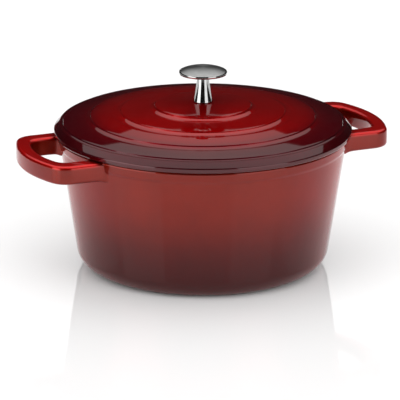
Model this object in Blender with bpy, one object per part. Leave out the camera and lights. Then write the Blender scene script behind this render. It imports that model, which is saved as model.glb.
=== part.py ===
"""Round enamelled cast iron dutch oven: pot with two cast loop handles, stepped lid, turned steel knob.

Metres, +Z up. The origin is the middle of the flat base. The handles lie along X.
"""

import math

import bmesh
import bpy
from mathutils import Vector

MM = 0.001

# Pot casting
BASE_TO_WALL_RADIUS = 17.5 * MM
WALL_RADIUS_AT_FLOOR = 104.2 * MM
WALL_FLARE = 0.151
WALL_THICKNESS = 4.6 * MM
BASE_THICKNESS = 5.0 * MM
INNER_CORNER_RADIUS = 18.0 * MM
RIM_HEIGHT = 113.7 * MM
RIM_BAND_HEIGHT = 9.2 * MM
RIM_BAND_PROUD = 0.8 * MM
RIM_EDGE_RADIUS = 2.0 * MM
MOUTH_RADIUS = 115.6 * MM
MOUTH_DEPTH = 12.0 * MM

# Loop handles, cast in one with the pot
HANDLE_REACH = 160.4 * MM
HANDLE_HALF_WIDTH = 51.6 * MM
HANDLE_BOW = 13.5 * MM
HANDLE_CORNER_RADIUS = 11.5 * MM
HANDLE_TOP = 112.8 * MM
HANDLE_BOTTOM = 97.2 * MM
HANDLE_EDGE_RADIUS = 3.0 * MM
GRIP_THICKNESS = 12.4 * MM
FINGER_HALF_WIDTH = 36.0 * MM
FINGER_CORNER_RADIUS = 9.0 * MM
ROOT_RADIUS = 117.6 * MM
ROOT_HALF_WIDTH = 54.6 * MM
ROOT_FILLET = 5.0 * MM

# Lid casting
LID_RADIUS = 125.0 * MM
LID_CENTRE_HEIGHT = 140.2 * MM
LID_CURVE = 1.2
LID_SEAT_HEIGHT = 114.0 * MM
LID_EDGE_TOP = 117.4 * MM
LID_EDGE_RADIUS = 1.6 * MM
KNOB_PAD_RADIUS = 9.5 * MM
RING_CRESTS = (40.0 * MM, 68.6 * MM, 94.0 * MM, 117.0 * MM)
CREST_HEIGHTS = (137.9 * MM, 133.2 * MM, 128.95 * MM, 124.4 * MM)
CREST_ROLLS = (0.5 * MM, 0.4 * MM, 0.15 * MM, 0.15 * MM)
RING_FEET = (46.0 * MM, 76.4 * MM, 99.5 * MM, 119.9 * MM)
FOOT_HEIGHTS = (134.9 * MM, 130.95 * MM, 126.4 * MM, 122.9 * MM)
ROLL_WIDTH = 4.0 * MM
RING_FACE_WIDTH = 0.45 * MM
RING_FACE_HEIGHT = 0.8 * MM
UNDERSIDE_CENTRE = 134.5 * MM
UNDERSIDE_DROP = 13.0 * MM
SKIRT_OUTER_RADIUS = 114.2 * MM
SKIRT_INNER_RADIUS = 110.6 * MM
SKIRT_BOTTOM = 108.5 * MM
SCREW_HOLE_RADIUS = 3.2 * MM
BOSS_RADIUS = 13.0 * MM
BOSS_BOTTOM = 134.0 * MM

# Knob
KNOB_BOTTOM = 140.5 * MM
KNOB_FOOT_RADIUS = 7.9 * MM
KNOB_STEM_RADIUS = 5.0 * MM
KNOB_NECK_HEIGHT = 161.0 * MM
KNOB_HEAD_RADIUS = 20.2 * MM
KNOB_HEAD_BOTTOM = 164.4 * MM
KNOB_HEAD_HEIGHT = 165.6 * MM
KNOB_EDGE_RADIUS = 1.8 * MM
KNOB_TOP = 170.4 * MM
KNOB_BORE_RADIUS = 3.2 * MM
KNOB_BORE_TOP = 156.0 * MM

# Screw and washer inside the lid
SCREW_RADIUS = 2.9 * MM
SCREW_TOP = 154.5 * MM
SCREW_HEAD_RADIUS = 5.6 * MM
SCREW_HEAD_TOP = 132.2 * MM
SCREW_HEAD_BOTTOM = 128.5 * MM
SLOT_WIDTH = 1.4 * MM
SLOT_DEPTH = 1.6 * MM
WASHER_RADIUS = 9.0 * MM
WASHER_TOP = 133.7 * MM
WASHER_BOTTOM = 132.5 * MM

CASTING_SEGMENTS = 72
KNOB_SEGMENTS = 40
SMALL_SEGMENTS = 28


def clear_scene():
    for obj in list(bpy.data.objects):
        bpy.data.objects.remove(obj, do_unlink=True)


def principled(name, colour, roughness, metallic, coat=0.0):
    material = bpy.data.materials.new(name)
    material.use_nodes = True
    shader = material.node_tree.nodes["Principled BSDF"]
    shader.inputs["Base Color"].default_value = (*colour, 1.0)
    shader.inputs["Roughness"].default_value = roughness
    shader.inputs["Metallic"].default_value = metallic
    shader.inputs["Coat Weight"].default_value = coat
    return material


def arc(centre_r, centre_z, radius, start, end, steps):
    """Points on a circle in the (r, z) plane, angles in degrees from +r."""
    points = []
    for i in range(steps + 1):
        angle = math.radians(start + (end - start) * i / steps)
        points.append((centre_r + radius * math.cos(angle), centre_z + radius * math.sin(angle)))
    return points


def smooth(t):
    t = min(max(t, 0.0), 1.0)
    return t * t * (3.0 - 2.0 * t)


def finish(name, mesh, material, sharp_angle):
    mesh.shade_smooth()
    mesh.set_sharp_from_angle(angle=math.radians(sharp_angle))
    mesh.materials.append(material)
    obj = bpy.data.objects.new(name, mesh)
    bpy.context.scene.collection.objects.link(obj)
    return obj


def lathe(name, profile, segments, material, centre_z=0.0, sharp_angle=35.0):
    """Solid of revolution about Z. The profile is closed from its last point to its first."""
    build = bmesh.new()
    rings = []
    for radius, height in profile:
        z = height - centre_z
        if radius < 1e-9:
            rings.append([build.verts.new((0.0, 0.0, z))])
            continue
        turn = [2.0 * math.pi * k / segments for k in range(segments)]
        rings.append([build.verts.new((radius * math.cos(a), radius * math.sin(a), z)) for a in turn])
    for lower, upper in zip(rings, rings[1:] + rings[:1]):
        if len(lower) == 1 and len(upper) == 1:
            continue
        for k in range(segments):
            n = (k + 1) % segments
            if len(lower) == 1:
                build.faces.new((lower[0], upper[k], upper[n]))
            elif len(upper) == 1:
                build.faces.new((lower[k], lower[n], upper[0]))
            else:
                build.faces.new((lower[k], lower[n], upper[n], upper[k]))
    bmesh.ops.recalc_face_normals(build, faces=build.faces)
    mesh = bpy.data.meshes.new(name)
    build.to_mesh(mesh)
    build.free()
    obj = finish(name, mesh, material, sharp_angle)
    obj.location.z = centre_z
    return obj


def boolean(target, other, operation):
    other.hide_render = True
    other.display_type = "WIRE"
    modifier = target.modifiers.new(other.name, "BOOLEAN")
    modifier.object = other
    modifier.operation = operation
    modifier.solver = "EXACT"


def wall_radius(z):
    return WALL_RADIUS_AT_FLOOR + WALL_FLARE * z


def pot_profile():
    lean = math.degrees(math.atan(WALL_FLARE))
    reach = BASE_TO_WALL_RADIUS / math.cos(math.radians(lean))
    corner_r = wall_radius(BASE_TO_WALL_RADIUS) - reach
    points = [(0.0, 0.0)]
    points += arc(corner_r, BASE_TO_WALL_RADIUS, BASE_TO_WALL_RADIUS, -90.0, -lean, 7)
    # The wall runs straight up to the shallow band under the rim.
    band_foot = RIM_HEIGHT - RIM_BAND_HEIGHT
    points.append((wall_radius(band_foot * 0.55), band_foot * 0.55))
    points.append((wall_radius(band_foot - 0.8 * MM), band_foot - 0.8 * MM))
    points.append((wall_radius(band_foot) + 0.3 * RIM_BAND_PROUD, band_foot + 0.2 * MM))
    points.append((wall_radius(band_foot) + RIM_BAND_PROUD, band_foot + 1.4 * MM))
    edge_z = RIM_HEIGHT - RIM_EDGE_RADIUS
    edge_r = wall_radius(edge_z) + RIM_BAND_PROUD - RIM_EDGE_RADIUS
    points += arc(edge_r, edge_z, RIM_EDGE_RADIUS, 0.0, 90.0, 3)
    # The flat land that carries the lid, then the mouth and the inside wall.
    points += arc(MOUTH_RADIUS + 1.2 * MM, RIM_HEIGHT - 1.2 * MM, 1.2 * MM, 90.0, 180.0, 2)
    inner_z = RIM_HEIGHT - MOUTH_DEPTH
    points.append((wall_radius(inner_z) - WALL_THICKNESS, inner_z))
    centre_z = BASE_THICKNESS + INNER_CORNER_RADIUS
    inner_reach = INNER_CORNER_RADIUS / math.cos(math.radians(lean))
    centre_r = wall_radius(centre_z) - WALL_THICKNESS - inner_reach
    points += arc(centre_r, centre_z, INNER_CORNER_RADIUS, -lean, -90.0, 5)
    points.append((0.0, BASE_THICKNESS))
    return points


def loop_outline(reach, half_width, bow, corner, root_half_width, fillet):
    """One side of a handle seen from above: root, arm, rounded corner, half of the bowed grip."""
    root_u = math.sqrt(ROOT_RADIUS ** 2 - root_half_width ** 2)
    arm_start = root_u + fillet + 3.0 * MM
    edge_u = reach - bow
    points = [Vector((root_u, root_half_width))]
    points.append(Vector((root_u + 0.45 * fillet, 0.45 * root_half_width + 0.55 * half_width)))
    points.append(Vector((arm_start, half_width)))
    corner_start = Vector((edge_u - corner, half_width))
    points.append(points[-1].lerp(corner_start, 0.5))
    grip_v = half_width - corner
    grip_start = Vector((reach - bow * (grip_v / half_width) ** 2, grip_v))
    corner_tip = Vector((edge_u + 1.0 * MM, half_width))
    for i in range(6):
        t = i / 5.0
        near = corner_start.lerp(corner_tip, t)
        far = corner_tip.lerp(grip_start, t)
        points.append(near.lerp(far, t))
    for i in range(1, 5):
        v = grip_v * (1.0 - i / 4.0)
        points.append(Vector((reach - bow * (v / half_width) ** 2, v)))
    return points


def mirrored(half):
    return half + [Vector((p.x, -p.y)) for p in reversed(half[:-1])]


def handle(name, direction, material):
    """Loop bar swept round from wall to wall; its ends stay inside the thickness of the pot wall."""
    outer = mirrored(loop_outline(HANDLE_REACH, HANDLE_HALF_WIDTH, HANDLE_BOW,
                                  HANDLE_CORNER_RADIUS, ROOT_HALF_WIDTH, ROOT_FILLET))
    inner_bow = HANDLE_BOW * 0.55
    inner = mirrored(loop_outline(HANDLE_REACH - GRIP_THICKNESS, FINGER_HALF_WIDTH, inner_bow,
                                  FINGER_CORNER_RADIUS, FINGER_HALF_WIDTH - 3.0 * MM, 4.0 * MM))
    middle_z = 0.5 * (HANDLE_TOP + HANDLE_BOTTOM)
    half_z = 0.5 * (HANDLE_TOP - HANDLE_BOTTOM)
    build = bmesh.new()
    sections = []
    for near, far in zip(inner, outer):
        width = (far - near).length
        corner = min(HANDLE_EDGE_RADIUS, 0.45 * width)
        section = []
        for quadrant in range(4):
            side_w = 1.0 if quadrant in (0, 3) else -1.0
            side_z = 1.0 if quadrant in (0, 1) else -1.0
            for i in range(4):
                angle = math.radians(90.0 * quadrant + 30.0 * i)
                w = side_w * (0.5 * width - corner) + corner * math.cos(angle)
                h = side_z * (half_z - corner) + corner * math.sin(angle)
                spot = near.lerp(far, 0.5 + w / width)
                position = (direction * spot.x, direction * spot.y, middle_z + h)
                section.append(build.verts.new(position))
        sections.append(section)
    for first, second in zip(sections, sections[1:]):
        for k in range(len(first)):
            n = (k + 1) % len(first)
            build.faces.new((first[k], first[n], second[n], second[k]))
    build.faces.new(sections[0])
    build.faces.new(sections[-1])
    bmesh.ops.recalc_face_normals(build, faces=build.faces)
    mesh = bpy.data.meshes.new(name)
    build.to_mesh(mesh)
    build.free()
    return finish(name, mesh, material, 50.0)


def make_pot(material):
    pot = lathe("pot_body", pot_profile(), CASTING_SEGMENTS, material)
    boolean(pot, handle("handle_right_form", 1.0, material), "UNION")
    boolean(pot, handle("handle_left_form", -1.0, material), "UNION")
    return pot


def ring_fall(distance, width, drop):
    """Depth below a ring's crest: a short steep face, then a long cove that flattens at the foot."""
    if distance < RING_FACE_WIDTH:
        return RING_FACE_HEIGHT * (distance / RING_FACE_WIDTH) ** 1.6
    share = (distance - RING_FACE_WIDTH) / (width - RING_FACE_WIDTH)
    return RING_FACE_HEIGHT + (drop - RING_FACE_HEIGHT) * (1.0 - (1.0 - share) ** 2)


def lid_top(radius):
    """Height of the lid's upper face: shallow domed bands that roll over into a step at each ring."""
    start_r, start_z = KNOB_PAD_RADIUS, LID_CENTRE_HEIGHT
    rings = zip(RING_CRESTS, CREST_HEIGHTS, CREST_ROLLS, RING_FEET, FOOT_HEIGHTS)
    for crest_r, crest_z, roll, foot_r, foot_z in rings:
        if radius <= crest_r:
            share = (radius - start_r) / (crest_r - start_r)
            dome = 0.5 * LID_CURVE * (radius - start_r) * (crest_r - radius)
            near = max(1.0 - (crest_r - radius) / ROLL_WIDTH, 0.0)
            return start_z + (crest_z + roll - start_z) * share + dome - roll * near ** 2
        if radius < foot_r:
            return crest_z - ring_fall(radius - crest_r, foot_r - crest_r, crest_z - foot_z)
        start_r, start_z = foot_r, foot_z
    return start_z


def lid_profile():
    points = [(SCREW_HOLE_RADIUS, LID_CENTRE_HEIGHT), (KNOB_PAD_RADIUS, LID_CENTRE_HEIGHT)]
    start = KNOB_PAD_RADIUS
    for crest, foot in zip(RING_CRESTS, RING_FEET):
        roll_start = crest - ROLL_WIDTH
        radii = [0.5 * (start + roll_start), roll_start, crest - 0.4 * ROLL_WIDTH, crest]
        radii += [crest + 0.5 * RING_FACE_WIDTH]
        radii += [crest + RING_FACE_WIDTH + (foot - crest - RING_FACE_WIDTH) * i / 4.0 for i in range(5)]
        points += [(radius, lid_top(radius)) for radius in radii]
        start = foot
    # A sloping flank runs down to the small rounded edge.
    flank_start = Vector((points[-1][0] + 0.4 * MM, points[-1][1]))
    edge = arc(LID_RADIUS - LID_EDGE_RADIUS, LID_EDGE_TOP, LID_EDGE_RADIUS, 45.0, 0.0, 3)
    flank_end = Vector(edge[0])
    flank_bend = 0.5 * (flank_start + flank_end) + Vector((0.12 * MM, 0.12 * MM))
    points += [tuple(flank_start), tuple(flank_bend)] + edge
    points += arc(LID_RADIUS - LID_EDGE_RADIUS, LID_SEAT_HEIGHT + LID_EDGE_RADIUS, LID_EDGE_RADIUS, 0.0, -90.0, 3)
    # Seating face, skirt that drops inside the mouth, and the smooth underside.
    points.append((SKIRT_OUTER_RADIUS + 0.8 * MM, LID_SEAT_HEIGHT))
    points.append((SKIRT_OUTER_RADIUS, LID_SEAT_HEIGHT - 0.8 * MM))
    points.append((SKIRT_OUTER_RADIUS, SKIRT_BOTTOM + 0.8 * MM))
    points.append((SKIRT_OUTER_RADIUS - 0.8 * MM, SKIRT_BOTTOM))
    points.append((SKIRT_INNER_RADIUS + 0.8 * MM, SKIRT_BOTTOM))
    points.append((SKIRT_INNER_RADIUS, SKIRT_BOTTOM + 0.8 * MM))
    for share in (0.985, 0.95, 0.88, 0.76, 0.62, 0.46, 0.3, 0.17):
        radius = SKIRT_INNER_RADIUS * share
        points.append((radius, lid_underside(radius)))
    points.append((BOSS_RADIUS, BOSS_BOTTOM))
    points.append((SCREW_HOLE_RADIUS, BOSS_BOTTOM))
    return points


def lid_underside(radius):
    """Smooth dome under the steps, thickened into the skirt."""
    share = radius / SKIRT_INNER_RADIUS
    return UNDERSIDE_CENTRE - UNDERSIDE_DROP * share ** 1.45 - 4.6 * MM * smooth((share - 0.86) / 0.14)


def make_lid(material):
    return lathe("lid", lid_profile(), CASTING_SEGMENTS, material, centre_z=LID_SEAT_HEIGHT)


def knob_profile():
    points = [(KNOB_BORE_RADIUS, KNOB_BOTTOM), (KNOB_FOOT_RADIUS - 0.4 * MM, KNOB_BOTTOM)]
    low, high = KNOB_BOTTOM + 0.5 * MM, KNOB_NECK_HEIGHT
    points.append((KNOB_FOOT_RADIUS, low))
    # The stem tapers all the way from the foot to the head, fastest at the foot.
    for i in range(1, 12):
        t = i / 11.0
        spread = (KNOB_FOOT_RADIUS - KNOB_STEM_RADIUS) * (0.6 * (1.0 - t) + 0.4 * (1.0 - t) ** 2)
        points.append((KNOB_STEM_RADIUS + spread, low + (high - low) * t))
    # A cove joins it to the flat underside of the head.
    cove = KNOB_HEAD_BOTTOM - KNOB_NECK_HEIGHT
    points += arc(KNOB_STEM_RADIUS + cove, KNOB_NECK_HEIGHT, cove, 180.0, 96.0, 4)[1:]
    points.append((KNOB_HEAD_RADIUS - 0.25 * MM, KNOB_HEAD_BOTTOM))
    points.append((KNOB_HEAD_RADIUS, KNOB_HEAD_BOTTOM + 0.25 * MM))
    points += arc(KNOB_HEAD_RADIUS - KNOB_EDGE_RADIUS, KNOB_HEAD_HEIGHT, KNOB_EDGE_RADIUS, 0.0, 62.0, 4)
    # Shallow domed top.
    shoulder_r, shoulder_z = points[-1]
    for i in range(1, 8):
        share = 1.0 - i / 7.0
        height = shoulder_z + (KNOB_TOP - shoulder_z) * (1.0 - share ** 2.8)
        points.append((shoulder_r * share, height))
    points.append((0.0, KNOB_BORE_TOP + 1.2 * MM))
    points.append((KNOB_BORE_RADIUS, KNOB_BORE_TOP))
    return points


def make_knob(material):
    return lathe("knob", knob_profile(), KNOB_SEGMENTS, material, centre_z=KNOB_BOTTOM)


def make_screw(material):
    head_edge = 1.6 * MM
    points = [(0.0, SCREW_TOP), (SCREW_RADIUS - 0.7 * MM, SCREW_TOP), (SCREW_RADIUS, SCREW_TOP - 0.7 * MM)]
    points += [(SCREW_RADIUS, SCREW_HEAD_TOP), (SCREW_HEAD_RADIUS, SCREW_HEAD_TOP)]
    points += arc(SCREW_HEAD_RADIUS - head_edge, SCREW_HEAD_BOTTOM + head_edge, head_edge, 0.0, -90.0, 4)
    points.append((0.0, SCREW_HEAD_BOTTOM))
    screw = lathe("knob_screw", points, SMALL_SEGMENTS, material, centre_z=SCREW_HEAD_TOP)
    build = bmesh.new()
    bmesh.ops.create_cube(build, size=1.0)
    bmesh.ops.scale(build, verts=build.verts, vec=(4.0 * SCREW_HEAD_RADIUS, SLOT_WIDTH, 2.0 * SLOT_DEPTH))
    bmesh.ops.translate(build, verts=build.verts, vec=(0.0, 0.0, SCREW_HEAD_BOTTOM))
    mesh = bpy.data.meshes.new("screw_slot_cut")
    build.to_mesh(mesh)
    build.free()
    boolean(screw, finish("screw_slot_cut", mesh, material, 30.0), "DIFFERENCE")
    return screw


def make_washer(material):
    hole = SCREW_RADIUS + 0.4 * MM
    edge = 0.25 * MM
    points = [(hole, WASHER_BOTTOM), (WASHER_RADIUS - edge, WASHER_BOTTOM)]
    points += [(WASHER_RADIUS, WASHER_BOTTOM + edge), (WASHER_RADIUS, WASHER_TOP - edge)]
    points += [(WASHER_RADIUS - edge, WASHER_TOP), (hole, WASHER_TOP)]
    return lathe("screw_washer", points, SMALL_SEGMENTS, material, centre_z=WASHER_BOTTOM)


def main():
    clear_scene()
    pot_enamel = principled("red_enamel_pot", (0.24, 0.03, 0.022), 0.12, 0.0, 0.5)
    lid_enamel = principled("red_enamel_lid", (0.16, 0.008, 0.012), 0.10, 0.0, 0.5)
    polished = principled("polished_steel", (0.62, 0.61, 0.60), 0.10, 1.0)
    zinc = principled("screw_steel", (0.50, 0.50, 0.50), 0.30, 1.0)
    washer_steel = principled("washer_steel", (0.56, 0.56, 0.55), 0.26, 1.0)
    pot = make_pot(pot_enamel)
    lid = make_lid(lid_enamel)
    lid.parent = pot
    for piece in (make_knob(polished), make_screw(zinc), make_washer(washer_steel)):
        piece.location.z -= LID_SEAT_HEIGHT
        piece.parent = lid


main()
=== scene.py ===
"""Round enamelled cast iron dutch oven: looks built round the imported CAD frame.

Metres, +Z up, origin in the middle of the flat base. The handles lie along X and -Y is the front.
"""

import math

import bmesh
import bpy
from mathutils import Matrix, Vector


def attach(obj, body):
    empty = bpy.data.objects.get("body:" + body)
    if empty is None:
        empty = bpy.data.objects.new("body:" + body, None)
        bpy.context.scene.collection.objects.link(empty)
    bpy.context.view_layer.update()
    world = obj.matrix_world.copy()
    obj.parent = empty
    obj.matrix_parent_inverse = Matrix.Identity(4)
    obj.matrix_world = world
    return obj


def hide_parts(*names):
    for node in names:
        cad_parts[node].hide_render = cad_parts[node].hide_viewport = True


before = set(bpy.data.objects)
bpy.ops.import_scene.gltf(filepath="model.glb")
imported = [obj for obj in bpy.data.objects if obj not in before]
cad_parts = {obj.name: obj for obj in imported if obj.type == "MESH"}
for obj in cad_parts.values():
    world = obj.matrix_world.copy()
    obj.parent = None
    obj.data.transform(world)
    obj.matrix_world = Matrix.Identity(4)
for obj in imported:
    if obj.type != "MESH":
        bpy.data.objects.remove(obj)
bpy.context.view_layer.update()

MM = 0.001

# Pot casting
BASE_TO_WALL_RADIUS = 17.5 * MM
WALL_RADIUS_AT_FLOOR = 104.2 * MM
WALL_FLARE = 0.151
WALL_THICKNESS = 4.6 * MM
BASE_THICKNESS = 5.0 * MM
INNER_CORNER_RADIUS = 18.0 * MM
RIM_HEIGHT = 113.7 * MM
RIM_BAND_HEIGHT = 9.2 * MM
RIM_BAND_PROUD = 0.8 * MM
RIM_COVE_DROP = 1.6 * MM
RIM_COVE_HEIGHT = 3.6 * MM
RIM_EDGE_RADIUS = 2.0 * MM
MOUTH_RADIUS = 115.6 * MM
MOUTH_DEPTH = 12.0 * MM
MOUTH_EDGE_RADIUS = 1.2 * MM

# Loop handles
HANDLE_REACH = 160.4 * MM
HANDLE_HALF_WIDTH = 51.6 * MM
HANDLE_BOW = 13.5 * MM
HANDLE_CORNER_RADIUS = 11.5 * MM
HANDLE_TOP = 112.8 * MM
HANDLE_BOTTOM = 97.2 * MM
HANDLE_EDGE_RADIUS = 3.0 * MM
GRIP_THICKNESS = 12.4 * MM
FINGER_HALF_WIDTH = 36.0 * MM
FINGER_CORNER_RADIUS = 9.0 * MM
FINGER_BOW = 0.55 * HANDLE_BOW
FINGER_ROOT_HALF_WIDTH = FINGER_HALF_WIDTH - 3.0 * MM
FINGER_ROOT_FILLET = 4.0 * MM
ROOT_RADIUS = 117.6 * MM
ROOT_HALF_WIDTH = 54.6 * MM
ROOT_FILLET = 5.0 * MM
ROOT_FLARE_TOP = 0.4 * MM
ROOT_FLARE_BOTTOM = 1.5 * MM
ROOT_FLARE_TOP_REACH = 3.0 * MM
ROOT_FLARE_BOTTOM_REACH = 7.0 * MM

# Lid casting
LID_RADIUS = 125.0 * MM
LID_CENTRE_HEIGHT = 140.2 * MM
BAND_CURVES = (1.2, 1.2, 0.0, 0.6)
LID_SEAT_HEIGHT = 114.0 * MM
LID_EDGE_TOP = 117.4 * MM
LID_EDGE_RADIUS = 1.6 * MM
KNOB_PAD_RADIUS = 9.5 * MM
RING_CRESTS = (40.0 * MM, 68.6 * MM, 94.0 * MM, 117.0 * MM)
CREST_HEIGHTS = (137.9 * MM, 133.2 * MM, 128.85 * MM, 124.4 * MM)
CREST_ROLLS = (0.10 * MM, 0.06 * MM, 0.06 * MM, 0.08 * MM)
RING_FEET = (46.0 * MM, 76.4 * MM, 99.5 * MM, 119.0 * MM)
FOOT_HEIGHTS = (134.9 * MM, 131.1 * MM, 126.4 * MM, 122.9 * MM)
ROLL_WIDTH = 2.6 * MM
RING_FACE_SLANT = 0.6
RING_FACE_HEIGHTS = (1.6 * MM, 0.8 * MM, 1.0 * MM, 0.9 * MM)
FLANK_LEDGE = 1.3 * MM
FLANK_BULGE = 0.03 * MM
UNDERSIDE_CENTRE = 134.5 * MM
UNDERSIDE_DROP = 13.0 * MM
UNDERSIDE_EDGE_DROP = 4.6 * MM
SKIRT_OUTER_RADIUS = 114.2 * MM
SKIRT_INNER_RADIUS = 110.6 * MM
SKIRT_BOTTOM = 108.5 * MM
SKIRT_CORNER_RADIUS = 0.9 * MM
SCREW_HOLE_RADIUS = 3.2 * MM
BOSS_RADIUS = 13.0 * MM
BOSS_BOTTOM = 134.0 * MM
BOSS_BLEND = 4.0 * MM

# Knob, screw and washer
KNOB_BOTTOM = 140.5 * MM
KNOB_FOOT_RADIUS = 7.9 * MM
KNOB_FOOT_EDGE_RADIUS = 0.5 * MM
KNOB_STEM_RADIUS = 5.0 * MM
KNOB_NECK_HEIGHT = 161.0 * MM
KNOB_HEAD_RADIUS = 20.2 * MM
KNOB_HEAD_BOTTOM = 164.4 * MM
KNOB_HEAD_HEIGHT = 165.6 * MM
KNOB_EDGE_RADIUS = 1.8 * MM
KNOB_UNDERCUT = 0.4 * MM
KNOB_DOME_POWER = 2.8
KNOB_TOP = 170.4 * MM
KNOB_BORE_RADIUS = 3.2 * MM
KNOB_BORE_TOP = 156.0 * MM
KNOB_BORE_CHAMFER = 0.4 * MM
KNOB_DRILL_POINT = 1.2 * MM
SCREW_RADIUS = 2.9 * MM
SCREW_TOP = 154.5 * MM
SCREW_TIP_RADIUS = 0.7 * MM
SCREW_THREAD_PITCH = 1.0 * MM
SCREW_THREAD_DEPTH = 0.5 * MM
SCREW_HEAD_RADIUS = 5.6 * MM
SCREW_HEAD_TOP = 132.2 * MM
SCREW_HEAD_BOTTOM = 128.5 * MM
SCREW_HEAD_EDGE_RADIUS = 1.6 * MM
SCREW_HEAD_CHAMFER = 0.2 * MM
SLOT_WIDTH = 1.4 * MM
SLOT_DEPTH = 1.6 * MM
WASHER_RADIUS = 9.0 * MM
WASHER_TOP = 133.7 * MM
WASHER_BOTTOM = 132.5 * MM
WASHER_HOLE_RADIUS = SCREW_RADIUS + 0.4 * MM
WASHER_EDGE_RADIUS = 0.3 * MM

CASTING_SEGMENTS = 224
KNOB_SEGMENTS = 128
SMALL_SEGMENTS = 64
LID_SHARP_ANGLE = 38.0
POT_SHARP_ANGLE = 48.0
STEEL_SHARP_ANGLE = 34.0
SOFT_SHARP_ANGLE = 60.0

# Looks. Red glass over a pale ground: a broad red gleam from inside the glaze, under a clear gloss surface.
GLAZE = {"Metallic": 0.7, "Specular IOR Level": 0.0, "Specular Tint": (1.0, 0.05, 0.08, 1.0),
         "Coat Weight": 1.0, "Coat Roughness": 0.035, "Coat IOR": 1.5}
LID_COLOURS = [
    (0.00, (0.360, 0.0040, 0.0060)),
    (0.30, (0.440, 0.0050, 0.0060)),
    (0.52, (0.460, 0.0045, 0.0055)),
    (0.69, (0.440, 0.0030, 0.0050)),
    (0.78, (0.130, 0.0003, 0.0080)),
    (0.92, (0.095, 0.0002, 0.0080)),
    (1.00, (0.060, 0.0002, 0.0030)),
]
POT_COLOURS = [
    (0.00, (0.048, 0.0010, 0.0010)),
    (0.22, (0.060, 0.0010, 0.0010)),
    (0.42, (0.100, 0.0030, 0.0012)),
    (0.62, (0.190, 0.0080, 0.0015)),
    (0.85, (0.210, 0.0095, 0.0015)),
    (1.00, (0.190, 0.0085, 0.0015)),
]
# Brighter red for the tops of the loops: painted light, not a different glaze.
LOOP_TOP_PAINTED_LIGHT = (0.700, 0.0100, 0.0090)
POT_COAT_IOR = 1.39
LID_ROUGHNESS = 0.34
POT_ROUGHNESS = 0.30
KNOB_COLOUR = (0.44, 0.445, 0.44)
SCREW_COLOUR = (0.50, 0.50, 0.495)
WASHER_COLOUR = (0.56, 0.56, 0.55)


# ---------------------------------------------------------------- curves in the (r, z) plane

def smooth(t):
    t = min(max(t, 0.0), 1.0)
    return t * t * (3.0 - 2.0 * t)


def arc(centre_r, centre_z, radius, start, end, steps):
    """Points on a circle in the (r, z) plane, angles in degrees from +r."""
    points = []
    for i in range(steps + 1):
        angle = math.radians(start + (end - start) * i / steps)
        points.append((centre_r + radius * math.cos(angle), centre_z + radius * math.sin(angle)))
    return points


def line(start, end, steps):
    """Points from start to end, leaving out both ends."""
    points = []
    for i in range(1, steps):
        t = i / steps
        points.append((start[0] + (end[0] - start[0]) * t, start[1] + (end[1] - start[1]) * t))
    return points


def wall_radius(z):
    return WALL_RADIUS_AT_FLOOR + WALL_FLARE * z


def pot_outside():
    """From the middle of the base round the corner and up the wall to the inner edge of the rim."""
    lean = math.degrees(math.atan(WALL_FLARE))
    reach = BASE_TO_WALL_RADIUS / math.cos(math.radians(lean))
    corner_r = wall_radius(BASE_TO_WALL_RADIUS) - reach
    points = [(0.0, 0.0)] + line((0.0, 0.0), (corner_r, 0.0), 10)
    points += arc(corner_r, BASE_TO_WALL_RADIUS, BASE_TO_WALL_RADIUS, -90.0, -lean, 26)
    band_foot = RIM_HEIGHT - RIM_BAND_HEIGHT
    below = band_foot - RIM_COVE_DROP
    points += line(points[-1], (wall_radius(below), below), 22)
    points.append((wall_radius(below), below))
    # The band under the rim stands proud on a soft cove.
    for i in range(1, 9):
        t = i / 8.0
        z = below + RIM_COVE_HEIGHT * t
        points.append((wall_radius(z) + RIM_BAND_PROUD * smooth(t), z))
    edge_z = RIM_HEIGHT - RIM_EDGE_RADIUS
    edge_r = wall_radius(edge_z) + RIM_BAND_PROUD - RIM_EDGE_RADIUS
    points += line(points[-1], (edge_r + RIM_EDGE_RADIUS, edge_z), 6)
    points += arc(edge_r, edge_z, RIM_EDGE_RADIUS, 0.0, 90.0, 10)
    return points


def pot_inside():
    """From the mouth's rounded edge down the inside wall to the middle of the inside floor."""
    lean = math.degrees(math.atan(WALL_FLARE))
    edge = MOUTH_EDGE_RADIUS
    points = arc(MOUTH_RADIUS + edge, RIM_HEIGHT - edge, edge, 90.0, 180.0, 6)
    inner_z = RIM_HEIGHT - MOUTH_DEPTH
    inner_r = wall_radius(inner_z) - WALL_THICKNESS
    points += line(points[-1], (inner_r, inner_z), 5)
    centre_z = BASE_THICKNESS + INNER_CORNER_RADIUS
    centre_r = wall_radius(centre_z) - WALL_THICKNESS - INNER_CORNER_RADIUS / math.cos(math.radians(lean))
    corner = arc(centre_r, centre_z, INNER_CORNER_RADIUS, -lean, -90.0, 20)
    points += [(inner_r, inner_z)] + line((inner_r, inner_z), corner[0], 18) + corner
    points += line(points[-1], (0.0, BASE_THICKNESS), 10)
    points.append((0.0, BASE_THICKNESS))
    return points


def ring_fall(distance, width, drop, face):
    """Depth below a ring's crest: a short steep face, then a long cove that flattens at the foot."""
    face_width = RING_FACE_SLANT * face
    if distance < face_width:
        return face * (distance / face_width) ** 1.15
    share = (distance - face_width) / (width - face_width)
    return face + (drop - face) * (1.0 - (1.0 - share) ** 2)


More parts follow.
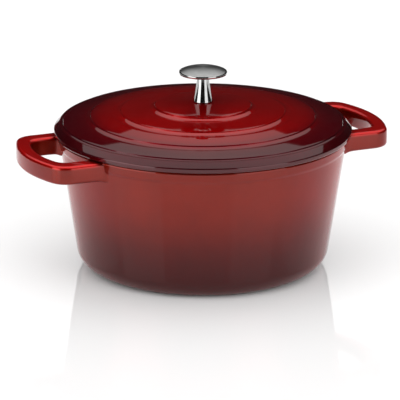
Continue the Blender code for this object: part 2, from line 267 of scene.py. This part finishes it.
def lid_top(radius):
    """Height of the lid's upper face: shallow domed bands that roll over into a step at each ring."""
    start_r, start_z = KNOB_PAD_RADIUS, LID_CENTRE_HEIGHT
    rings = zip(RING_CRESTS, CREST_HEIGHTS, RING_FEET, FOOT_HEIGHTS,
                CREST_ROLLS, BAND_CURVES, RING_FACE_HEIGHTS)
    for crest_r, crest_z, foot_r, foot_z, roll, curve, face in rings:
        if radius <= crest_r:
            share = (radius - start_r) / (crest_r - start_r)
            dome = 0.5 * curve * (radius - start_r) * (crest_r - radius)
            near = max(1.0 - (crest_r - radius) / ROLL_WIDTH, 0.0)
            return start_z + (crest_z + roll - start_z) * share + dome - roll * near ** 2
        if radius < foot_r:
            return crest_z - ring_fall(radius - crest_r, foot_r - crest_r, crest_z - foot_z, face)
        start_r, start_z = foot_r, foot_z
    return start_z


def lid_outside():
    """Top face from the screw hole outwards, then the flank and the small rounded edge."""
    points = [(SCREW_HOLE_RADIUS, LID_CENTRE_HEIGHT), (6.0 * MM, LID_CENTRE_HEIGHT)]
    start = KNOB_PAD_RADIUS
    for crest, foot, face in zip(RING_CRESTS, RING_FEET, RING_FACE_HEIGHTS):
        roll_start = crest - ROLL_WIDTH
        face_width = RING_FACE_SLANT * face
        cove_start = crest + face_width
        band_steps = max(int((roll_start - start) / (1.5 * MM)), 4)
        radii = [start + (roll_start - start) * i / band_steps for i in range(band_steps)]
        radii += [roll_start + ROLL_WIDTH * i / 9.0 for i in range(10)]
        radii += [crest + face_width * i / 5.0 for i in range(1, 5)]
        radii += [cove_start + (foot - cove_start) * i / 14.0 for i in range(14)]
        points += [(radius, lid_top(radius)) for radius in radii]
        start = foot
    points.append((start, lid_top(start)))
    edge_r = LID_RADIUS - LID_EDGE_RADIUS
    edge = arc(edge_r, LID_EDGE_TOP, LID_EDGE_RADIUS, 45.0, 0.0, 8)
    flank_start = Vector((start + FLANK_LEDGE, lid_top(start)))
    flank_end = Vector(edge[0])
    bend = 0.5 * (flank_start + flank_end) + Vector((FLANK_BULGE, FLANK_BULGE))
    for i in range(12):
        t = i / 12.0
        point = flank_start.lerp(bend, t).lerp(bend.lerp(flank_end, t), t)
        points.append((point.x, point.y))
    points += edge
    points += arc(edge_r, LID_SEAT_HEIGHT + LID_EDGE_RADIUS, LID_EDGE_RADIUS, 0.0, -90.0, 8)
    return points


def lid_underside(radius):
    """Height of the dome inside the lid: it falls slowly, then faster in the last stretch to the skirt."""
    share = radius / SKIRT_INNER_RADIUS
    edge_drop = UNDERSIDE_EDGE_DROP * smooth((share - 0.86) / 0.14)
    return UNDERSIDE_CENTRE - UNDERSIDE_DROP * share ** 1.45 - edge_drop


def lid_inside():
    """Seating face, skirt that drops inside the mouth, smooth dome and the boss round the screw."""
    r_out, r_in, low, corner = SKIRT_OUTER_RADIUS, SKIRT_INNER_RADIUS, SKIRT_BOTTOM, SKIRT_CORNER_RADIUS
    points = line((LID_RADIUS - LID_EDGE_RADIUS, LID_SEAT_HEIGHT), (r_out + corner, LID_SEAT_HEIGHT), 4)
    points += arc(r_out + corner, LID_SEAT_HEIGHT - corner, corner, 90.0, 180.0, 4)
    points += arc(r_out - corner, low + corner, corner, 0.0, -90.0, 5)
    points += arc(r_in + corner, low + corner, corner, -90.0, -180.0, 5)
    for i in range(1, 44):
        radius = r_in - (r_in - BOSS_RADIUS - BOSS_BLEND) * i / 43.0
        points.append((radius, lid_underside(radius)))
    start_r, start_z = points[-1]
    for i in range(1, 7):
        t = i / 6.0
        points.append((start_r + (BOSS_RADIUS - start_r) * t, start_z + (BOSS_BOTTOM - start_z) * smooth(t)))
    points += line((BOSS_RADIUS, BOSS_BOTTOM), (SCREW_HOLE_RADIUS, BOSS_BOTTOM), 4)
    points.append((SCREW_HOLE_RADIUS, BOSS_BOTTOM))
    points += line((SCREW_HOLE_RADIUS, BOSS_BOTTOM), (SCREW_HOLE_RADIUS, LID_CENTRE_HEIGHT), 4)
    return points


def knob_profile():
    """From the bore's mouth round the foot, up the stem, over the head and back down the bore."""
    points = [(KNOB_BORE_RADIUS + KNOB_BORE_CHAMFER, KNOB_BOTTOM)]
    foot = KNOB_FOOT_EDGE_RADIUS
    points += arc(KNOB_FOOT_RADIUS - foot, KNOB_BOTTOM + foot, foot, -90.0, 0.0, 6)
    low, high = KNOB_BOTTOM + foot, KNOB_NECK_HEIGHT
    # The stem tapers all the way from the foot to the head, fastest at the foot.
    for i in range(1, 45):
        t = i / 44.0
        spread = (KNOB_FOOT_RADIUS - KNOB_STEM_RADIUS) * (0.6 * (1.0 - t) + 0.4 * (1.0 - t) ** 2)
        points.append((KNOB_STEM_RADIUS + spread, low + (high - low) * t))
    # A cove joins it to the flat underside of the head.
    cove = KNOB_HEAD_BOTTOM - KNOB_NECK_HEIGHT
    points += arc(KNOB_STEM_RADIUS + cove, KNOB_NECK_HEIGHT, cove, 180.0, 93.0, 12)[1:]
    under_edge = (KNOB_HEAD_RADIUS - KNOB_UNDERCUT, KNOB_HEAD_BOTTOM)
    points += line(points[-1], under_edge, 6) + [under_edge]
    points += arc(KNOB_HEAD_RADIUS - KNOB_EDGE_RADIUS, KNOB_HEAD_HEIGHT, KNOB_EDGE_RADIUS, 3.0, 62.0, 14)
    # Shallow domed top.
    shoulder_r, shoulder_z = points[-1]
    for i in range(1, 41):
        share = 1.0 - i / 40.0
        rise = (KNOB_TOP - shoulder_z) * (1.0 - share ** KNOB_DOME_POWER)
        points.append((shoulder_r * share, shoulder_z + rise))
    bore_end = (KNOB_BORE_RADIUS, KNOB_BOTTOM + KNOB_BORE_CHAMFER)
    points += [(0.0, KNOB_BORE_TOP + KNOB_DRILL_POINT), (KNOB_BORE_RADIUS, KNOB_BORE_TOP)]
    points += line(points[-1], bore_end, 4) + [bore_end]
    return points


# ---------------------------------------------------------------- mesh making

def finish_mesh(name, build, materials, sharp_angle):
    bmesh.ops.recalc_face_normals(build, faces=build.faces)
    mesh = bpy.data.meshes.new(name)
    build.to_mesh(mesh)
    build.free()
    mesh.shade_smooth()
    mesh.set_sharp_from_angle(angle=math.radians(sharp_angle))
    for surface in materials:
        mesh.materials.append(surface)
    obj = bpy.data.objects.new(name, mesh)
    bpy.context.scene.collection.objects.link(obj)
    return obj


def lathe(name, parts, segments, materials, sharp_angle, radius_at=None):
    """Solid of revolution about Z. parts is a list of (points, material index), joined end to end."""
    build = bmesh.new()
    rings, index = [], []
    for points, material_index in parts:
        for radius, height in points:
            index.append(material_index)
            if radius < 1e-9:
                rings.append([build.verts.new((0.0, 0.0, height))])
                continue
            ring = []
            for k in range(segments):
                turn = 2.0 * math.pi * k / segments
                r = radius_at(radius, turn, height) if radius_at else radius
                ring.append(build.verts.new((r * math.cos(turn), r * math.sin(turn), height)))
            rings.append(ring)
    for number in range(len(rings)):
        lower, upper = rings[number], rings[(number + 1) % len(rings)]
        if len(lower) == 1 and len(upper) == 1:
            continue
        for k in range(segments):
            n = (k + 1) % segments
            if len(lower) == 1:
                face = build.faces.new((lower[0], upper[k], upper[n]))
            elif len(upper) == 1:
                face = build.faces.new((lower[k], lower[n], upper[0]))
            else:
                face = build.faces.new((lower[k], lower[n], upper[n], upper[k]))
            face.material_index = index[number]
    return finish_mesh(name, build, materials, sharp_angle)


def apply_boolean(target, other, operation):
    modifier = target.modifiers.new("join", "BOOLEAN")
    modifier.object = other
    modifier.operation = operation
    modifier.solver = "EXACT"
    graph = bpy.context.evaluated_depsgraph_get()
    mesh = bpy.data.meshes.new_from_object(target.evaluated_get(graph))
    target.modifiers.clear()
    old = target.data
    target.data = mesh
    bpy.data.meshes.remove(old)
    bpy.data.objects.remove(other, do_unlink=True)


def loop_outline(reach, half_width, bow, corner, root_half_width, fillet):
    """One side of a handle seen from above: root, arm, rounded corner, half of the bowed grip."""
    root_u = math.sqrt(ROOT_RADIUS ** 2 - root_half_width ** 2)
    arm_start = root_u + fillet + 3.0 * MM
    edge_u = reach - bow
    points = []
    # The arm leaves the wall on a fillet.
    for i in range(10):
        t = i / 10.0
        points.append(Vector((root_u + (arm_start - root_u) * t,
                              half_width + (root_half_width - half_width) * (1.0 - t) ** 2.4)))
    corner_start = Vector((edge_u - corner, half_width))
    arm = Vector((arm_start, half_width))
    for i in range(6):
        points.append(arm.lerp(corner_start, i / 6.0))
    grip_v = half_width - corner
    grip_start = Vector((reach - bow * (grip_v / half_width) ** 2, grip_v))
    corner_tip = Vector((edge_u + 1.0 * MM, half_width))
    for i in range(20):
        t = i / 19.0
        near = corner_start.lerp(corner_tip, t)
        far = corner_tip.lerp(grip_start, t)
        points.append(near.lerp(far, t))
    for i in range(1, 15):
        v = grip_v * (1.0 - i / 14.0)
        points.append(Vector((reach - bow * (v / half_width) ** 2, v)))
    return points


def mirrored(half):
    return half + [Vector((p.x, -p.y)) for p in reversed(half[:-1])]


def handle(name, direction, surface):
    """Loop bar swept round from wall to wall; its ends stay inside the thickness of the pot wall."""
    outer = mirrored(loop_outline(HANDLE_REACH, HANDLE_HALF_WIDTH, HANDLE_BOW,
                                  HANDLE_CORNER_RADIUS, ROOT_HALF_WIDTH, ROOT_FILLET))
    inner = mirrored(loop_outline(HANDLE_REACH - GRIP_THICKNESS, FINGER_HALF_WIDTH, FINGER_BOW,
                                  FINGER_CORNER_RADIUS, FINGER_ROOT_HALF_WIDTH, FINGER_ROOT_FILLET))
    build = bmesh.new()
    sections = []
    quadrant_steps = 9
    wall = wall_radius(0.5 * (HANDLE_TOP + HANDLE_BOTTOM))
    for near, far in zip(inner, outer):
        width = (far - near).length
        corner = min(HANDLE_EDGE_RADIUS, 0.45 * width)
        section = []
        for quadrant in range(4):
            side_w = 1.0 if quadrant in (0, 3) else -1.0
            side_z = 1.0 if quadrant in (0, 1) else -1.0
            for i in range(quadrant_steps):
                angle = math.radians(90.0 * quadrant + 90.0 * i / (quadrant_steps - 1))
                w = side_w * (0.5 * width - corner) + corner * math.cos(angle)
                spot = near.lerp(far, 0.5 + w / width)
                away = max(spot.length - wall, 0.0)
                top = HANDLE_TOP + ROOT_FLARE_TOP * max(1.0 - away / ROOT_FLARE_TOP_REACH, 0.0) ** 2
                flare = max(1.0 - away / ROOT_FLARE_BOTTOM_REACH, 0.0) ** 2.4
                bottom = HANDLE_BOTTOM - ROOT_FLARE_BOTTOM * flare
                middle_z, half_z = 0.5 * (top + bottom), 0.5 * (top - bottom)
                h = side_z * (half_z - corner) + corner * math.sin(angle)
                section.append(build.verts.new((direction * spot.x, direction * spot.y, middle_z + h)))
        sections.append(section)
    for first, second in zip(sections, sections[1:]):
        for k in range(len(first)):
            n = (k + 1) % len(first)
            build.faces.new((first[k], first[n], second[n], second[k]))
    build.faces.new(sections[0])
    build.faces.new(sections[-1])
    return finish_mesh(name, build, [surface], SOFT_SHARP_ANGLE)


# ---------------------------------------------------------------- node helpers

class Nodes:
    """Short way to write a node tree."""

    def __init__(self, tree):
        self.tree = tree
        tree.nodes.clear()

    def add(self, kind, values=None, **settings):
        node = self.tree.nodes.new(kind)
        for key, value in settings.items():
            setattr(node, key, value)
        for key, value in (values or {}).items():
            socket = node.inputs[key]
            if isinstance(value, bpy.types.NodeSocket):
                self.tree.links.new(value, socket)
            else:
                socket.default_value = value
        return node

    def math(self, operation, *values, clamp=False):
        node = self.add("ShaderNodeMath", dict(enumerate(values)), operation=operation, use_clamp=clamp)
        return node.outputs[0]

    def noise(self, vector, scale, detail=2.0, roughness=0.5):
        node = self.add("ShaderNodeTexNoise", {"Vector": vector, "Scale": scale, "Detail": detail,
                                               "Roughness": roughness})
        return node.outputs["Fac"]

    def span(self, value, low, high, to_low=0.0, to_high=1.0, kind="SMOOTHSTEP"):
        node = self.add("ShaderNodeMapRange", {"Value": value, "From Min": low, "From Max": high,
                                               "To Min": to_low, "To Max": to_high}, interpolation_type=kind)
        return node.outputs["Result"]

    def mix(self, factor, first, second, blend="MIX"):
        node = self.add("ShaderNodeMix", {"Factor": factor}, data_type="RGBA", blend_type=blend)
        for key, value in (("A", first), ("B", second)):
            socket = [s for s in node.inputs if s.name == key and s.type == "RGBA"][0]
            if isinstance(value, bpy.types.NodeSocket):
                self.tree.links.new(value, socket)
            else:
                socket.default_value = (*value, 1.0)
        return [s for s in node.outputs if s.type == "RGBA"][0]

    def ramp(self, value, stops, kind="B_SPLINE"):
        node = self.add("ShaderNodeValToRGB", {"Fac": value})
        node.color_ramp.interpolation = kind
        elements = node.color_ramp.elements
        while len(elements) < len(stops):
            elements.new(0.5)
        for element, (position, colour) in zip(elements, stops):
            element.position = position
            element.color = (*colour, 1.0)
        return node.outputs["Color"]

    def bump(self, height, distance, strength=1.0, normal=None):
        values = {"Height": height, "Distance": distance, "Strength": strength}
        if normal is not None:
            values["Normal"] = normal
        return self.add("ShaderNodeBump", values).outputs["Normal"]


def material(name):
    made = bpy.data.materials.new(name)
    made.use_nodes = True
    return made, Nodes(made.node_tree)


def place(n):
    """Object coordinates, distance from the knob's axis and height, all in metres."""
    coordinates = n.add("ShaderNodeTexCoord").outputs["Object"]
    split = n.add("ShaderNodeSeparateXYZ", {"Vector": coordinates}).outputs
    x_squared = n.math("MULTIPLY", split["X"], split["X"])
    y_squared = n.math("MULTIPLY", split["Y"], split["Y"])
    return coordinates, n.math("SQRT", n.math("ADD", x_squared, y_squared)), split["Z"]


def close_shader(n, colour, roughness, normal, **fixed):
    """Principled shader. fixed holds values that are the same all over, on the shader's own sockets."""
    values = {"Base Color": colour, "Roughness": roughness, "Normal": normal}
    values.update(fixed)
    shader = n.add("ShaderNodeBsdfPrincipled", values)
    n.add("ShaderNodeOutputMaterial", {"Surface": shader.outputs["BSDF"]})


def enamel_surface(n, coordinates, colour, base_roughness):
    """Glass enamel: faint sprayed speckle, slow orange peel and a few duller smudges."""
    speckle = n.noise(coordinates, 2600.0, 2.0, 0.6)
    cloud = n.noise(coordinates, 42.0, 3.0, 0.55)
    shade = n.math("ADD", n.span(speckle, 0.3, 0.7, -0.07, 0.07, "LINEAR"),
                   n.span(cloud, 0.3, 0.7, -0.06, 0.06, "LINEAR"))
    colour = n.mix(1.0, colour, n.add("ShaderNodeCombineColor", {
        "Red": n.math("ADD", shade, 1.0), "Green": n.math("ADD", shade, 1.0),
        "Blue": n.math("ADD", shade, 1.0)}).outputs["Color"], "MULTIPLY")
    smudge = n.noise(coordinates, 26.0, 4.0, 0.6)
    roughness = n.span(smudge, 0.45, 0.75, base_roughness, base_roughness + 0.06)
    peel = n.bump(n.noise(coordinates, 110.0, 1.0, 0.4), 0.00005)
    normal = n.bump(n.noise(coordinates, 520.0, 1.0, 0.5), 0.000004, normal=peel)
    return colour, roughness, normal


def lid_enamel():
    made, n = material("lid_enamel_red")
    coordinates, radius, _ = place(n)
    wander = n.math("MULTIPLY", n.math("SUBTRACT", n.noise(coordinates, 30.0, 3.0, 0.6), 0.5), 0.006)
    reach = n.math("DIVIDE", n.math("ADD", radius, wander), LID_RADIUS)
    colour = n.ramp(reach, LID_COLOURS)
    colour, roughness, normal = enamel_surface(n, coordinates, colour, LID_ROUGHNESS)
    close_shader(n, colour, roughness, normal, **GLAZE)
    return made


def pot_enamel():
    made, n = material("pot_enamel_red")
    coordinates, radius, height = place(n)
    wander = n.math("MULTIPLY", n.math("SUBTRACT", n.noise(coordinates, 24.0, 3.0, 0.6), 0.5), 0.010)
    reach = n.math("DIVIDE", n.math("ADD", height, wander), RIM_HEIGHT)
    colour = n.ramp(reach, POT_COLOURS)
    # Painted light: the tops of the loops are mixed towards a brighter red, standing in for the light they
    # catch.
    on_loop = n.span(n.math("SUBTRACT", radius, n.math("MULTIPLY", height, WALL_FLARE)),
                     WALL_RADIUS_AT_FLOOR + 1.5 * MM, WALL_RADIUS_AT_FLOOR + 8.0 * MM)
    on_top = n.span(height, HANDLE_TOP - 3.4 * MM, HANDLE_TOP - 0.4 * MM)
    colour = n.mix(n.math("MULTIPLY", on_loop, on_top), colour, LOOP_TOP_PAINTED_LIGHT)
    colour, roughness, normal = enamel_surface(n, coordinates, colour, POT_ROUGHNESS)
    close_shader(n, colour, roughness, normal, **{**GLAZE, "Coat IOR": POT_COAT_IOR})
    return made


def inner_enamel(name):
    """Satin black enamel with the fine grain and speckle of a sprayed cooking surface."""
    made, n = material(name)
    coordinates = n.add("ShaderNodeTexCoord").outputs["Object"]
    speckle = n.noise(coordinates, 900.0, 3.0, 0.7)
    colour = n.ramp(speckle, [(0.0, (0.010, 0.009, 0.009)), (0.62, (0.016, 0.015, 0.015)),
                              (0.80, (0.05, 0.048, 0.047)), (1.0, (0.09, 0.088, 0.085))], "LINEAR")
    roughness = n.span(n.noise(coordinates, 38.0, 3.0, 0.6), 0.35, 0.7, 0.30, 0.42)
    grain = n.bump(n.noise(coordinates, 700.0, 3.0, 0.6), 0.00005)
    normal = n.bump(n.noise(coordinates, 90.0, 1.0, 0.5), 0.00010, normal=grain)
    close_shader(n, colour, roughness, normal)
    return made


def turned_steel(name, colour, roughness, line_depth, anisotropic):
    """Turned steel: fine lines round the axis that spread each gleam across them, and hairline scuffs.

    roughness is a number or a function that makes it from the height.
    """
    made, n = material(name)
    coordinates, radius, height = place(n)
    along = n.math("ADD", radius, n.math("MULTIPLY", height, 0.8))
    lines_at = n.add("ShaderNodeCombineXYZ", {"X": n.math("MULTIPLY", along, 5200.0)}).outputs["Vector"]
    lines = n.add("ShaderNodeTexNoise", {"Vector": lines_at, "Scale": 1.0, "Detail": 2.0}).outputs["Fac"]
    cloud = n.noise(coordinates, 160.0, 4.0, 0.6)
    stretched = n.add("ShaderNodeMapping", {"Vector": coordinates, "Rotation": (0.3, 0.2, 0.6),
                                            "Scale": (60.0, 2600.0, 2600.0)}).outputs["Vector"]
    scuffs = n.add("ShaderNodeTexNoise", {"Vector": stretched, "Scale": 1.0, "Detail": 1.0}).outputs["Fac"]
    tone = n.mix(n.span(cloud, 0.3, 0.75), colour, tuple(0.86 * c for c in colour))
    if callable(roughness):
        roughness = roughness(n, height)
    rough = n.math("ADD", n.math("ADD", roughness, n.span(cloud, 0.3, 0.75, 0.0, 0.05)),
                   n.span(scuffs, 0.62, 0.8, 0.0, 0.06))
    normal = n.bump(lines, line_depth)
    tangent = n.add("ShaderNodeTangent", direction_type="RADIAL", axis="Z").outputs["Tangent"]
    close_shader(n, tone, rough, normal, Metallic=1.0, Anisotropic=anisotropic, Tangent=tangent,
                 **{"Anisotropic Rotation": 0.25})
    return made


def knob_polish(n, height):
    """Bright stem and rim, satin on the dome."""
    on_top = n.span(height, KNOB_HEAD_HEIGHT, KNOB_HEAD_HEIGHT + 2.2 * MM)
    return n.math("ADD", n.math("MULTIPLY", on_top, 0.22), 0.06)


# ---------------------------------------------------------------- pieces

def ride(piece, body, node):
    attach(piece, body)
    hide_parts(node)
    return piece


def make_pot():
    red, black = pot_enamel(), inner_enamel("pot_inner_enamel")
    parts = [(pot_outside(), 0), (pot_inside(), 1)]
    pot = lathe("pot_casting", parts, CASTING_SEGMENTS, [red, black], POT_SHARP_ANGLE)
    for name, direction in (("grip_right", 1.0), ("grip_left", -1.0)):
        apply_boolean(pot, handle(name, direction, red), "UNION")
    pot.data.set_sharp_from_angle(angle=math.radians(POT_SHARP_ANGLE))
    return ride(pot, "pot", "pot_body")


def make_lid():
    red, black = lid_enamel(), inner_enamel("lid_inner_enamel")
    parts = [(lid_outside(), 0), (lid_inside(), 1)]
    lid = lathe("lid_casting", parts, CASTING_SEGMENTS, [red, black], LID_SHARP_ANGLE)
    return ride(lid, "lid", "lid")


def make_knob():
    steel = turned_steel("knob_steel_turned", KNOB_COLOUR, knob_polish, 0.0000006, 0.45)
    knob = lathe("knob_turned", [(knob_profile(), 0)], KNOB_SEGMENTS, [steel], STEEL_SHARP_ANGLE)
    return ride(knob, "lid", "knob")


def thread_radius(radius, turn, height):
    """Screw thread: a rounded vee whose phase follows the turn."""
    low, high = SCREW_HEAD_TOP + 2.0 * MM, SCREW_TOP - 0.6 * MM
    if radius < SCREW_RADIUS - 1e-6 or height < low or height > high:
        return radius
    phase = (height / SCREW_THREAD_PITCH - turn / (2.0 * math.pi)) % 1.0
    fade = smooth((height - low) / MM) * smooth((high - height) / MM)
    return radius - SCREW_THREAD_DEPTH * fade * abs(2.0 * phase - 1.0)


def make_screw():
    steel = turned_steel("screw_steel_plain", SCREW_COLOUR, 0.24, 0.000001, 0.0)
    tip, head_edge, chamfer = SCREW_TIP_RADIUS, SCREW_HEAD_EDGE_RADIUS, SCREW_HEAD_CHAMFER
    points = [(0.0, SCREW_TOP)]
    points += arc(SCREW_RADIUS - tip, SCREW_TOP - tip, tip, 90.0, 0.0, 4)
    points += line(points[-1], (SCREW_RADIUS, SCREW_HEAD_TOP), 170)
    points += [(SCREW_RADIUS, SCREW_HEAD_TOP), (SCREW_HEAD_RADIUS - chamfer, SCREW_HEAD_TOP)]
    points += [(SCREW_HEAD_RADIUS, SCREW_HEAD_TOP - chamfer)]
    points += arc(SCREW_HEAD_RADIUS - head_edge, SCREW_HEAD_BOTTOM + head_edge, head_edge, 0.0, -90.0, 12)
    points.append((0.0, SCREW_HEAD_BOTTOM))
    screw = lathe("screw_slotted", [(points, 0)], SMALL_SEGMENTS, [steel], STEEL_SHARP_ANGLE, thread_radius)
    build = bmesh.new()
    bmesh.ops.create_cube(build, size=1.0)
    bmesh.ops.scale(build, verts=build.verts, vec=(4.0 * SCREW_HEAD_RADIUS, SLOT_WIDTH, 2.0 * SLOT_DEPTH))
    bmesh.ops.translate(build, verts=build.verts, vec=(0.0, 0.0, SCREW_HEAD_BOTTOM))
    apply_boolean(screw, finish_mesh("slot_cut", build, [steel], STEEL_SHARP_ANGLE), "DIFFERENCE")
    screw.data.set_sharp_from_angle(angle=math.radians(STEEL_SHARP_ANGLE))
    return ride(screw, "lid", "knob_screw")


def make_washer():
    steel = turned_steel("washer_steel_plain", WASHER_COLOUR, 0.22, 0.0000015, 0.2)
    hole, edge = WASHER_HOLE_RADIUS, WASHER_EDGE_RADIUS
    points = arc(hole + edge, WASHER_BOTTOM + edge, edge, 180.0, 270.0, 4)
    points += line(points[-1], (WASHER_RADIUS - edge, WASHER_BOTTOM), 6)
    points += arc(WASHER_RADIUS - edge, WASHER_BOTTOM + edge, edge, -90.0, 0.0, 4)
    points += arc(WASHER_RADIUS - edge, WASHER_TOP - edge, edge, 0.0, 90.0, 4)
    points += line(points[-1], (hole + edge, WASHER_TOP), 6)
    points += arc(hole + edge, WASHER_TOP - edge, edge, 90.0, 180.0, 4)
    washer = lathe("washer_plain", [(points, 0)], SMALL_SEGMENTS, [steel], STEEL_SHARP_ANGLE)
    return ride(washer, "lid", "screw_washer")


# ---------------------------------------------------------------- stage, lights and camera

CAMERA_TURN = 23.298
CAMERA_DISTANCE = 2.8244
CAMERA_HEIGHT = 0.9220
CAMERA_PITCH = 17.0837
CAMERA_YAW = -0.0462
CAMERA_ROLL = 0.1612
CAMERA_LENS = 315.0

FLOOR_HALF_WIDTH = 4.0
BACKDROP_RADIUS = 1.7
BACKDROP_HEIGHT = 0.93
OVERHEAD_SIZE = (2.8, 2.56)
# Where the overhead gradient starts and ends along the panel, and its brightness there.
OVERHEAD_GRADIENT = (-0.75, 1.28, 1.25, 0.42)
SIDE_LIGHT_DISTANCE = 1.2
SIDE_LIGHT_HEIGHT = 0.9
# Name, azimuth from the camera in degrees, width and brightness.
SIDE_LIGHTS = (("light_left", -56.0, 0.92, 2.6), ("light_right", 45.0, 0.86, 1.9))


def turned(vector, degrees):
    """The vector turned clockwise about Z."""
    angle = math.radians(degrees)
    return Vector((vector[0] * math.cos(angle) + vector[1] * math.sin(angle),
                   -vector[0] * math.sin(angle) + vector[1] * math.cos(angle), vector[2]))


def sheet(name, build, surface):
    mesh = bpy.data.meshes.new(name)
    build.to_mesh(mesh)
    build.free()
    mesh.materials.append(surface)
    obj = bpy.data.objects.new(name, mesh)
    bpy.context.scene.collection.objects.link(obj)
    return obj


def panel(name, width, length, matrix, brightness, gradient=None):
    """Soft light: an emitting sheet that the camera doesn't see. It shines to its own -Z."""
    build = bmesh.new()
    bmesh.ops.create_grid(build, x_segments=1, y_segments=1, size=0.5)
    bmesh.ops.scale(build, verts=build.verts, vec=(width, length, 1.0))
    made, n = material(name + "_light")
    strength = brightness
    if gradient:
        coordinates = n.add("ShaderNodeTexCoord").outputs["Object"]
        split = n.add("ShaderNodeSeparateXYZ", {"Vector": coordinates}).outputs
        strength = n.span(split["Y"], *gradient)
    glow = n.add("ShaderNodeEmission", {"Color": (1.0, 1.0, 1.0, 1.0), "Strength": strength})
    n.add("ShaderNodeOutputMaterial", {"Surface": glow.outputs["Emission"]})
    obj = sheet(name, build, made)
    obj.matrix_world = matrix
    obj.visible_camera = False
    return obj


def facing(location, target):
    rotation = (Vector(location) - Vector(target)).to_track_quat("Z", "Y").to_matrix().to_4x4()
    return Matrix.Translation(Vector(location)) @ rotation


def make_floor():
    made, n = material("floor_white")
    shader = n.add("ShaderNodeBsdfPrincipled", {"Base Color": (0.92, 0.92, 0.92, 1.0), "Roughness": 0.06,
                                                "IOR": 1.5})
    n.add("ShaderNodeOutputMaterial", {"Surface": shader.outputs["BSDF"]})
    build = bmesh.new()
    bmesh.ops.create_grid(build, x_segments=8, y_segments=8, size=FLOOR_HALF_WIDTH)
    floor = sheet("floor", build, made)
    # Just under the pot's base, so that the two never share a plane.
    floor.location.z = -0.2 * MM
    return floor


def light_only(lamp, target):
    """The lamp lights the target and nothing else."""
    linked = bpy.data.collections.new("lit_by_" + lamp.name)
    linked.objects.link(target)
    lamp.light_linking.receiver_collection = linked


def make_backdrop(floor):
    """Low screen all round: pale in the floor's gloss, dark in the object's."""
    build = bmesh.new()
    rows = []
    for z in (0.0, BACKDROP_HEIGHT):
        turns = [2.0 * math.pi * k / SMALL_SEGMENTS for k in range(SMALL_SEGMENTS)]
        rows.append([build.verts.new((BACKDROP_RADIUS * math.cos(turn), BACKDROP_RADIUS * math.sin(turn), z))
                     for turn in turns])
    for k in range(SMALL_SEGMENTS):
        n = (k + 1) % SMALL_SEGMENTS
        build.faces.new((rows[0][k], rows[0][n], rows[1][n], rows[1][k]))
    made, n = material("backdrop_light")
    glow = n.add("ShaderNodeEmission", {"Color": (1.0, 1.0, 1.0, 1.0), "Strength": 1.25})
    cloth = n.add("ShaderNodeBsdfDiffuse", {"Color": (0.02, 0.02, 0.02, 1.0)})
    both = n.add("ShaderNodeAddShader", {0: glow.outputs[0], 1: cloth.outputs[0]})
    n.add("ShaderNodeOutputMaterial", {"Surface": both.outputs[0]})
    screen = finish_mesh("backdrop", build, [made], SOFT_SHARP_ANGLE)
    screen.visible_camera = False
    light_only(screen, floor)


def make_lights(floor):
    turn = Matrix.Rotation(math.radians(-CAMERA_TURN), 4, "Z")
    # Overhead box: from well behind the pot to just in front of it, brightest over the pot.
    over = Matrix.Translation((0.0, 0.75, 1.10))
    panel("light_overhead", *OVERHEAD_SIZE, turn @ over, 1.0, OVERHEAD_GRADIENT)
    middle = 0.5 * SIDE_LIGHT_HEIGHT
    for name, azimuth, width, brightness in SIDE_LIGHTS:
        angle = math.radians(azimuth)
        away = Vector((math.sin(angle), -math.cos(angle), 0.0)) * SIDE_LIGHT_DISTANCE
        spot = turn @ (away + Vector((0.0, 0.0, middle)))
        panel(name, width, SIDE_LIGHT_HEIGHT, facing(spot, (0.0, 0.0, middle)), brightness)
    # Fill for the floor alone.
    fill = panel("light_floor", 3.4, 3.4, turn @ Matrix.Translation((0.0, -0.2, 1.6)), 1.35)
    light_only(fill, floor)


def make_world():
    world = bpy.data.worlds.new("studio")
    bpy.context.scene.world = world
    world.use_nodes = True
    n = Nodes(world.node_tree)
    background = n.add("ShaderNodeBackground", {"Color": (1.0, 1.0, 1.0, 1.0), "Strength": 0.03})
    n.add("ShaderNodeOutputWorld", {"Surface": background.outputs["Background"]})


def make_camera():
    data = bpy.data.cameras.new("camera")
    data.sensor_width = 36.0
    data.lens = CAMERA_LENS
    data.clip_start, data.clip_end = 0.05, 50.0
    camera = bpy.data.objects.new("camera", data)
    bpy.context.scene.collection.objects.link(camera)
    yaw, pitch, roll = (math.radians(v) for v in (CAMERA_YAW, CAMERA_PITCH, CAMERA_ROLL))
    forward_flat = turned((math.sin(yaw), math.cos(yaw), 0.0), CAMERA_TURN)
    right = turned((math.cos(yaw), -math.sin(yaw), 0.0), CAMERA_TURN)
    forward = forward_flat * math.cos(pitch) - Vector((0, 0, math.sin(pitch)))
    up = right.cross(forward)
    rolled_right = right * math.cos(roll) + up * math.sin(roll)
    rolled_up = up * math.cos(roll) - right * math.sin(roll)
    axes = Matrix((rolled_right, rolled_up, -forward)).transposed().to_4x4()
    spot = turned((0.0, -CAMERA_DISTANCE, 0.0), CAMERA_TURN) + Vector((0, 0, CAMERA_HEIGHT))
    camera.matrix_world = Matrix.Translation(spot) @ axes
    bpy.context.scene.camera = camera


make_pot()
make_lid()
make_knob()
make_screw()
make_washer()
floor_sheet = make_floor()
make_backdrop(floor_sheet)
make_lights(floor_sheet)
make_world()
make_camera()
bpy.context.scene.view_settings.view_transform = "Standard"
